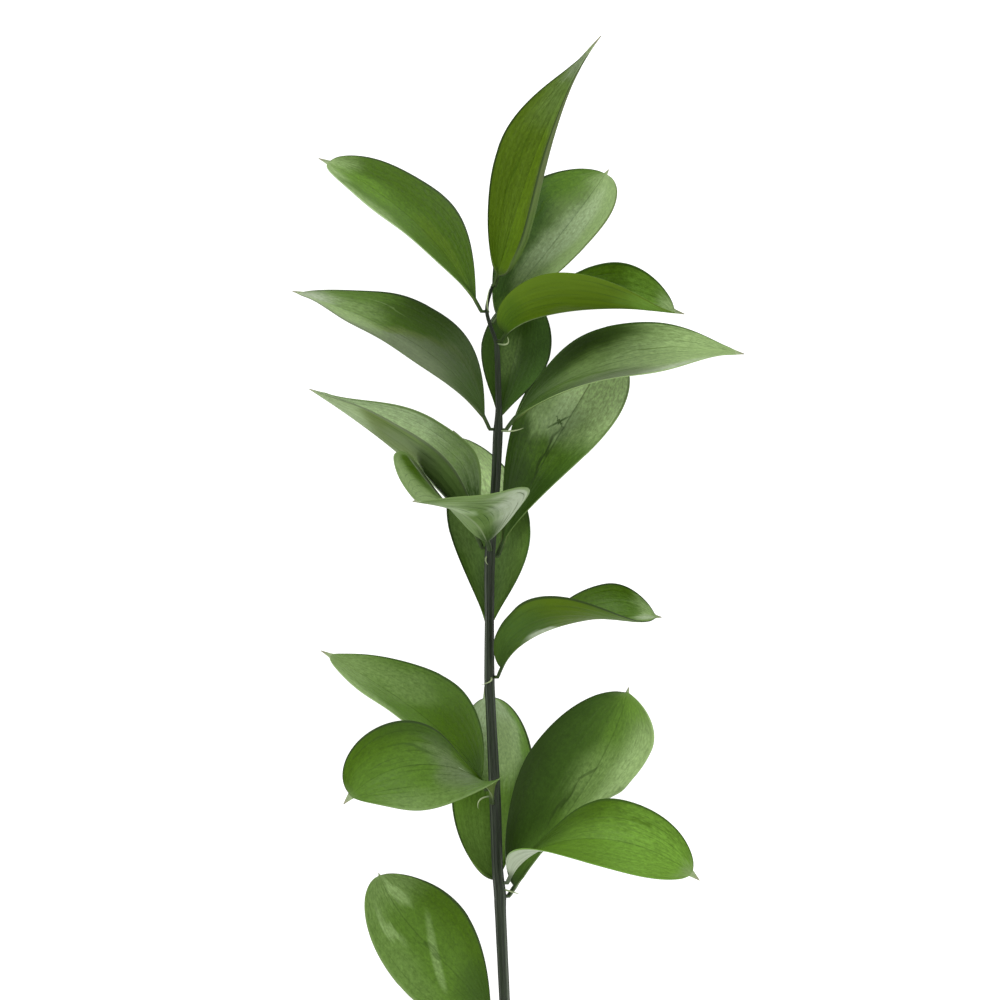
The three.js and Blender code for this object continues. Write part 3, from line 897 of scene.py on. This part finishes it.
def shell_faces(rows, width):
    """Faces of two grids of points, an upper and a lower one, joined all round their rim."""
    upper = quads(rows, width)
    count = rows * width
    lower = [tuple(count + v for v in face[::-1]) for face in upper]
    rim = [*range(width)]
    rim += [i * width + width - 1 for i in range(1, rows)]
    rim += [(rows - 1) * width + j for j in range(width - 2, -1, -1)]
    rim += [i * width for i in range(rows - 2, 0, -1)]
    sides = [(a, count + a, count + b, b) for a, b in zip(rim, rim[1:] + rim[:1])]
    return upper + lower + sides


def make_blade(blade, number, material):
    blade = {**PLAIN, **blade}
    rib = Midrib(blade)
    distance, share, drawn = rib.rows(blade["point"])
    draws = random.Random(number)
    middles, across = middle_surface(blade, rib, distance, share, draws)
    over, onward = np.gradient(middles, axis=1), np.gradient(middles, axis=0)
    normal = unit(np.cross(over, onward))
    top, bottom = stand_offs(share, np.abs(across))
    upper = middles + normal * top[..., None]
    lower = middles - normal * bottom[..., None]
    points = np.concatenate([upper.reshape(-1, 3), lower.reshape(-1, 3)])
    rows, width = middles.shape[:2]
    layers = {
        "across": np.tile(across, rows * 2),
        "along": np.tile(np.repeat(np.where(share < 1, share, 1 + drawn), width), 2),
        "upper": np.repeat([1.0, 0.0], rows * width),
    }
    name = blade["name"]
    faces = shell_faces(rows, width)
    finish_piece(name + "_blade", points, faces, layers, material, "leaf", name)


# ---- Looks --------------------------------------------------------------------------------------
# What leaf_skin() is given for each blade. Much of it is painted light and shade: the pale tips,
# pale bands and silvery undersides are partly painted sheen, the darker halves and dark ovals
# partly painted shade, and the palest ovals light up blades that lie in other leaves' shade.
# The thin lines are the blades' own veins and marks.
LOOKS = {
    "leaf_01": dict(
        rims=(SAGE, MARGIN), left=LEAF, middle=LEAF, right=GREEN,
        tones=[
            (SAGE, 0.7, (0, 1), (30, 18), 0),
            (SAGE, 0.35, (-0.8, 0.6), (9, 30), 0),
            (DARK, 0.8, (0.35, 0.1), (20, 18), 0),
            (PALE, 0.5, (-0.5, 0.73), (2.6, 10), -15),
            (PALE, 0.5, (0.2, 0.87), (3.4, 9), -8),
            (PALE, 0.42, (-0.04, 0.47), (1.8, 17), 28),
            (DARK, 0.5, (0.03, 0.52), (0.6, 9), -16),
        ],
    ),
    "leaf_02": dict(
        left=GREEN, middle=FRESH, right=FRESH, under=SILVER, rims=(DARK, VIVID), veins=0.35,
        tones=[
            (VIVID, 0.8, (0, 0.82), (24, 24), 0),
            (DARK, 0.5, (-0.7, 0.2), (16, 20), 0),
            (SAGE, 1, (0, 1.02), (22, 8), 0),
            (GREEN, 0.6, (-0.7, 0.42), (0.6, 11), 17),
            (GREEN, 0.6, (-0.65, 0.7), (0.6, 12), -13),
        ],
    ),
    "leaf_03": dict(
        left=DARK, middle=LEAF, right=SAGE, under=SILVER, rims=(DEEP, PALE),
        tones=[
            (DEEP, 1, (-1, 0.35), (12, 45), 0),
            (DARK, 0.7, (-0.4, 0.4), (7, 45), 0),
            (PALE, 0.8, (0.75, 0.66), (9, 18), 0),
            (SAGE, 0.6, (0.15, 0.58), (9, 16), 0),
            (FRESH, 0.8, (0.5, 1), (12, 9), 0),
            (DARK, 0.9, (0.3, 0.02), (16, 13), 0),
            (DEEP, 0.6, (-0.2, 0.4), (0.6, 14), 5),
            (DEEP, 0.5, (-0.07, 0.6), (0.5, 6), 25),
        ],
    ),
    "leaf_04": dict(
        left=FRESH, middle=FRESH, right=FRESH,
        tones=[
            (FROST, 1, (0, 1), (26, 34), 0),
            (PALE, 0.8, (0.3, 0.72), (9, 18), 0),
            (VIVID, 0.8, (0.95, 0.85), (5, 18), 0),
            (SAGE, 0.35, (-0.2, 0.15), (24, 24), 0),
            (DARK, 0.9, (0.95, 0.42), (11, 22), 0),
        ],
    ),
    "leaf_05": dict(
        left=LEAF, middle=LEAF, right=GREEN, rims=(SAGE, MARGIN), veins=0.4,
        tones=[
            (SAGE, 0.5, (-0.9, 0.6), (8, 24), 0),
            (MAUVE, 0.65, (-0.1, 0.4), (12, 13), 0),
            (MAUVE, 0.4, (0.5, 0.5), (8, 8), 0),
            (DARK, 0.6, (0.9, 0.6), (6, 20), 0),
            (DARK, 0.6, (0.45, 0.65), (0.6, 12), 14),
            (FROST, 0.9, (0.06, 0.33), (0.5, 2.5), 20),
        ],
    ),
    "leaf_06": dict(
        rims=(PALE, DARK), left=LEAF, middle=LEAF, right=LEAF,
        tones=[
            (SAGE, 1, (0, 1.05), (30, 30), 0),
            (PALE, 0.5, (-0.9, 0.7), (6, 20), 0),
            (SAGE, 0.6, (0.4, 0.62), (9, 14), 0),
            (GREEN, 0.9, (0.3, 0.2), (18, 20), 0),
            (DARK, 0.8, (0, 0.02), (16, 12), 0),
        ],
    ),
    "leaf_07": dict(
        left=GREEN, middle=LEAF, right=LEAF, under=OLIVE,
        tones=[
            (PALE, 1, (-0.2, 1.02), (22, 13), 0),
            (SILVER, 0.6, (0.2, 0.97), (7, 7), 0),
            (LEAF, 0.7, (-0.3, 0.8), (8, 10), 0),
        ],
        under_tones=[
            (LEAF, 0.6, (0.6, 0.75), (10, 14), 0),
            (FERN, 0.8, (0.5, 0.2), (16, 18), 0),
            (DARK, 0.9, (0.2, 0.03), (18, 12), 0),
            (SILVER, 0.9, (0.05, 0.32), (2, 9), 0),
        ],
    ),
    "leaf_08": dict(
        left=LEAF, middle=FERN, right=LEAF, rims=(MARGIN, FERN),
        tones=[
            (SAGE, 0.6, (-0.8, 0.55), (11, 18), 0),
            (SAGE, 0.35, (0.2, 0.25), (24, 24), 0),
            # Painted light: this blade lies under others, and its shaded top is painted pale.
            (PAINTED_LIGHT, 1, (0.4, 0.92), (28, 26), 0),
            (PAINTED_LIGHT, 0.8, (0.6, 0.95), (28, 24), 0),
        ],
    ),
    "leaf_09": dict(
        left=MOSS, middle=SAGE, right=SAGE, under=SAGE, rims=(SAGE, SAGE), veins=0.5,
        tones=[
            (PALE, 0.5, (0.4, 0.75), (14, 22), 0),
            (GREEN, 1, (0.95, 0.52), (12, 12), 0),
            (MAUVE, 1, (0.8, 0.3), (6, 15), 20),
            (SILVER, 0.6, (0.66, 0.36), (1, 11), 24),
            (SILVER, 0.5, (0.9, 0.24), (0.8, 9), 20),
            (DARK, 0.9, (0, 0), (24, 14), 0),
        ],
        under_tones=[
            (LEAF, 0.5, (-0.2, 0.3), (6, 16), 0),
            (SILVER, 1, (-0.85, 0.2), (10, 24), 0),
            (DARK, 0.9, (-0.2, -0.02), (12, 12), 0),
            (PALE, 0.6, (-0.35, 0.78), (6, 10), 0),
            (FROST, 0.8, (-0.05, 0.5), (2.5, 14), 0),
        ],
    ),
    "leaf_10": dict(
        left=DEEP, middle=DARK, right=FERN, rims=(DARK, SAGE), midrib=0.5,
        tones=[
            (FRESH, 0.6, (0.1, 0.6), (26, 20), 0),
            # Painted light over the top, which lies in leaf_12's shadow.
            (PAINTED_LIGHT, 0.95, (0.4, 0.98), (38, 33), 0),
            (DARK, 0.6, (-0.9, 0.5), (10, 24), 0),
            (PALE, 0.5, (-0.45, 0.62), (6, 12), 0),
            (FROST, 0.5, (-0.1, 0.66), (7, 12), 0),
            (DARK, 0.9, (0.5, 0.12), (20, 20), 0),
            (DEEP, 0.8, (-0.05, 0.44), (0.8, 13), -3),
            (DARK, 0.8, (-0.15, 0.6), (0.45, 4), 30),
            (DARK, 0.8, (-0.15, 0.6), (0.45, 3), -50),
        ],
    ),
    "leaf_11": dict(
        left=LEAF, middle=PALE, right=FROST, under=MOSS, rims=(MAUVE, SAGE), veins=0.3,
        tones=[
            (PAINTED_LIGHT, 0.2, (0.5, 0.62), (16, 24), 0),
            (SAGE, 0.8, (0.8, 0.33), (9, 12), 0),
            (LEAF, 0.6, (0.2, 0.33), (7, 12), 0),
            (DARK, 1, (0.4, 0.08), (16, 17), 0),
        ],
        under_tones=[
            (FROST, 0.7, (-0.4, 0.92), (14, 20), 0),
            # Painted light: the underside lightened where leaf_09's lobe shades it.
            (SAGE, 1, (-0.4, 0.3), (18, 26), 0),
            (MAUVE, 0.6, (-0.7, 0.5), (5, 14), 0),
            (MOSS, 0.6, (-0.4, 0.5), (5, 10), 0),
        ],
    ),
    "leaf_12": dict(
        left=GREEN, middle=SAGE, right=SAGE, rims=(DARK, PALE), veins=0.4,
        tones=[
            (PALE, 1, (-0.1, 1), (36, 38), 0),
            (PALE, 0.9, (0.5, 0.68), (20, 20), 0),
            (SILVER, 0.8, (0.95, 0.6), (6, 22), 0),
            (DEEP, 1, (-0.95, 0.25), (11, 30), 0),
            (MAUVE, 1, (0.68, 0.36), (9, 20), 0),
            (DARK, 0.9, (0, 0), (26, 26), 0),
            (GREEN, 0.6, (-0.15, 0.7), (0.5, 14), 4),
            (GREEN, 0.5, (0.2, 0.35), (0.9, 14), 8),
            (GREEN, 0.4, (0.45, 0.45), (0.8, 12), 6),
        ],
    ),
    "leaf_13": dict(
        left=DARK, middle=DARK, right=FERN,
        # Its dark colours are partly painted shade, as it lies under other leaves; the SAGE oval is
        # a painted sheen.
        tones=[(SAGE, 0.45, (-0.15, 0.55), (5, 20), 0), (DARK, 0.9, (-0.2, 0.85), (12, 18), 0)],
    ),
    "leaf_14": dict(
        left=MAUVE, middle=MOSS, right=GREEN, rims=(MAUVE, MARGIN), fold=(0.1, 1.7, 0.2), veins=0.3,
        tones=[
            (SAGE, 0.9, (0, 0.8), (20, 16), 0),
            (SILVER, 0.8, (-0.2, 1.02), (24, 14), 0),
            (DEEP, 0.8, (1, 0.25), (22, 36), 0),
            (PALE, 0.6, (-0.5, 0.8), (9, 22), 0),
            (LEAF, 0.8, (0.8, 0.75), (6, 14), 0),
            (DARK, 0.8, (0, -0.02), (24, 22), 0),
            (PALE, 0.25, (0.57, 0.63), (0.35, 9), 13),
        ],
    ),
    "leaf_15": dict(
        left=GREEN, middle=GREEN, right=GREEN, under=OLIVE, rims=(DARK, OLIVE),
        tones=[(FRESH, 1, (-0.6, 0.87), (14, 12), 0), (PALE, 1, (-0.5, 1.02), (14, 10), 0)],
        under_tones=[
            (VIVID, 0.7, (0.6, 0.85), (12, 14), 0),
            (GREEN, 0.9, (0, 0.02), (18, 12), 0),
            (MOSS, 0.5, (0.1, 0.4), (3, 12), 0),
        ],
    ),
    "leaf_16": dict(
        left=LEAF, middle=LEAF, right=GREEN, rims=(FROST, MARGIN), fold=(0, 0, 0.5),
        tones=[
            (PALE, 0.8, (-0.2, 1.02), (26, 13), 0),
            (PALE, 0.5, (-0.9, 0.66), (6, 20), 0),
            (FRESH, 0.8, (-0.1, 0.8), (6, 17), 0),
            (OLIVE, 0.6, (0.1, 0.3), (5, 17), 0),
            (GREEN, 0.7, (-0.4, 0.25), (9, 18), 0),
            (DARK, 0.8, (0, 0), (18, 10), 0),
        ],
    ),
    "leaf_17": dict(
        left=FERN, middle=SAGE, right=PALE, rims=(MARGIN, MOSS), fold=(-0.05, 0.4, 0.5),
        tones=[
            (FRESH, 0.7, (-0.6, 0.9), (10, 16), 0),
            # Painted sheen: a pale band down the blade's middle.
            (FROST, 0.85, (0.14, 0.6), (7, 30), 8),
            (PALE, 0.5, (0.2, 1), (16, 8), 0),
            (SAGE, 0.5, (0.4, 0.25), (14, 12), 0),
            (LEAF, 0.9, (0, 0), (20, 10), 0),
            (GREEN, 0.5, (-0.62, 0.55), (0.5, 16), 6),
        ],
    ),
    "leaf_18": dict(
        left=MEADOW, middle=MEADOW, right=MEADOW, under=DUSTY, rims=(MARGIN, MARGIN),
        tones=[
            (SAGE, 0.5, (0, 0.85), (20, 16), 0),
            (SILVER, 0.5, (0, 1), (22, 12), 0),
            (MOSS, 0.6, (0.45, 0.58), (4, 26), 0),
            (GREEN, 0.4, (-0.3, 0.05), (16, 10), 0),
            (DEEP, 0.7, (0.84, 0.6), (1.3, 46), 0),
            (GREEN, 0.5, (-0.35, 0.5), (0.4, 30), 3),
        ],
        under_tones=[(LEAF, 0.8, (0.6, 0.2), (10, 20), 0)],
    ),
}


# ---- Studio -------------------------------------------------------------------------------------
FLOOR_SIZE = 6.0
FLOOR_SQUARES = 8
FLOOR_LIGHT = grey(0.3)
FLOOR_DARK = grey(0.3 * 0.99)
FLOOR_RELIEF = 0.00002
FLOOR_GLOW = 1.0  # the floor is a lit table, so what lies on it throws only a faint shadow
# Soft boxes round the floor: (bearing in degrees, 0 = +X), height, distance, size, watts.
SOFT_BOXES = [
    (100, 1.4, 1.4, 1.2, 24),
    (190, 1.1, 1.7, 1.2, 14),
    (-10, 1.1, 1.7, 1.2, 14),
    (-90, 1.4, 1.4, 1.2, 10),
]
SKY = grey(0.42)
SEED_STEP = 7.3  # so that each blade's fine patterns differ


def add_floor():
    skin = Skin("floor_paint")
    speckle = skin.noise(skin.node("TexCoord", output="Object"), scale=60)
    paint = skin.blend(speckle, FLOOR_LIGHT, FLOOR_DARK)
    glow = {"Emission Color": grey(1), "Emission Strength": FLOOR_GLOW}
    material = skin.surface(paint, 0.75 + speckle * 0.05, speckle, FLOOR_RELIEF, **glow)
    mesh = bmesh.new()
    bmesh.ops.create_grid(
        mesh, x_segments=FLOOR_SQUARES, y_segments=FLOOR_SQUARES, size=FLOOR_SIZE / 2,
    )
    data = bpy.data.meshes.new("floor")
    mesh.to_mesh(data)
    mesh.free()
    data.materials.append(material)
    floor = bpy.data.objects.new("floor", data)
    bpy.context.collection.objects.link(floor)


def add_lights():
    for number, (bearing, height, away, size, watts) in enumerate(SOFT_BOXES, 1):
        data = bpy.data.lights.new(f"soft_box_{number}", "AREA")
        data.size = size
        data.energy = watts
        light = bpy.data.objects.new(f"soft_box_{number}", data)
        turn = math.radians(bearing)
        light.location = (away * math.cos(turn), away * math.sin(turn), height)
        light.rotation_euler = (math.atan2(away, height), 0, turn + math.pi / 2)
        bpy.context.collection.objects.link(light)
    world = bpy.data.worlds.new("studio")
    world.use_nodes = True
    world.node_tree.nodes["Background"].inputs["Color"].default_value = SKY
    bpy.context.scene.world = world
    bpy.context.scene.view_settings.view_transform = "Standard"


def main():
    add_camera()
    make_stem(stem_skin())
    papery = bract_skin()
    for number, knots in enumerate(BRACTS, 1):
        make_bract(number, knots, papery)
    for number, blade in enumerate(BLADES, 1):
        name = blade["name"]
        skin = leaf_skin(name + "_skin", number * SEED_STEP, **LOOKS[name])
        make_blade(blade, number, skin)
    add_floor()
    add_lights()


main()
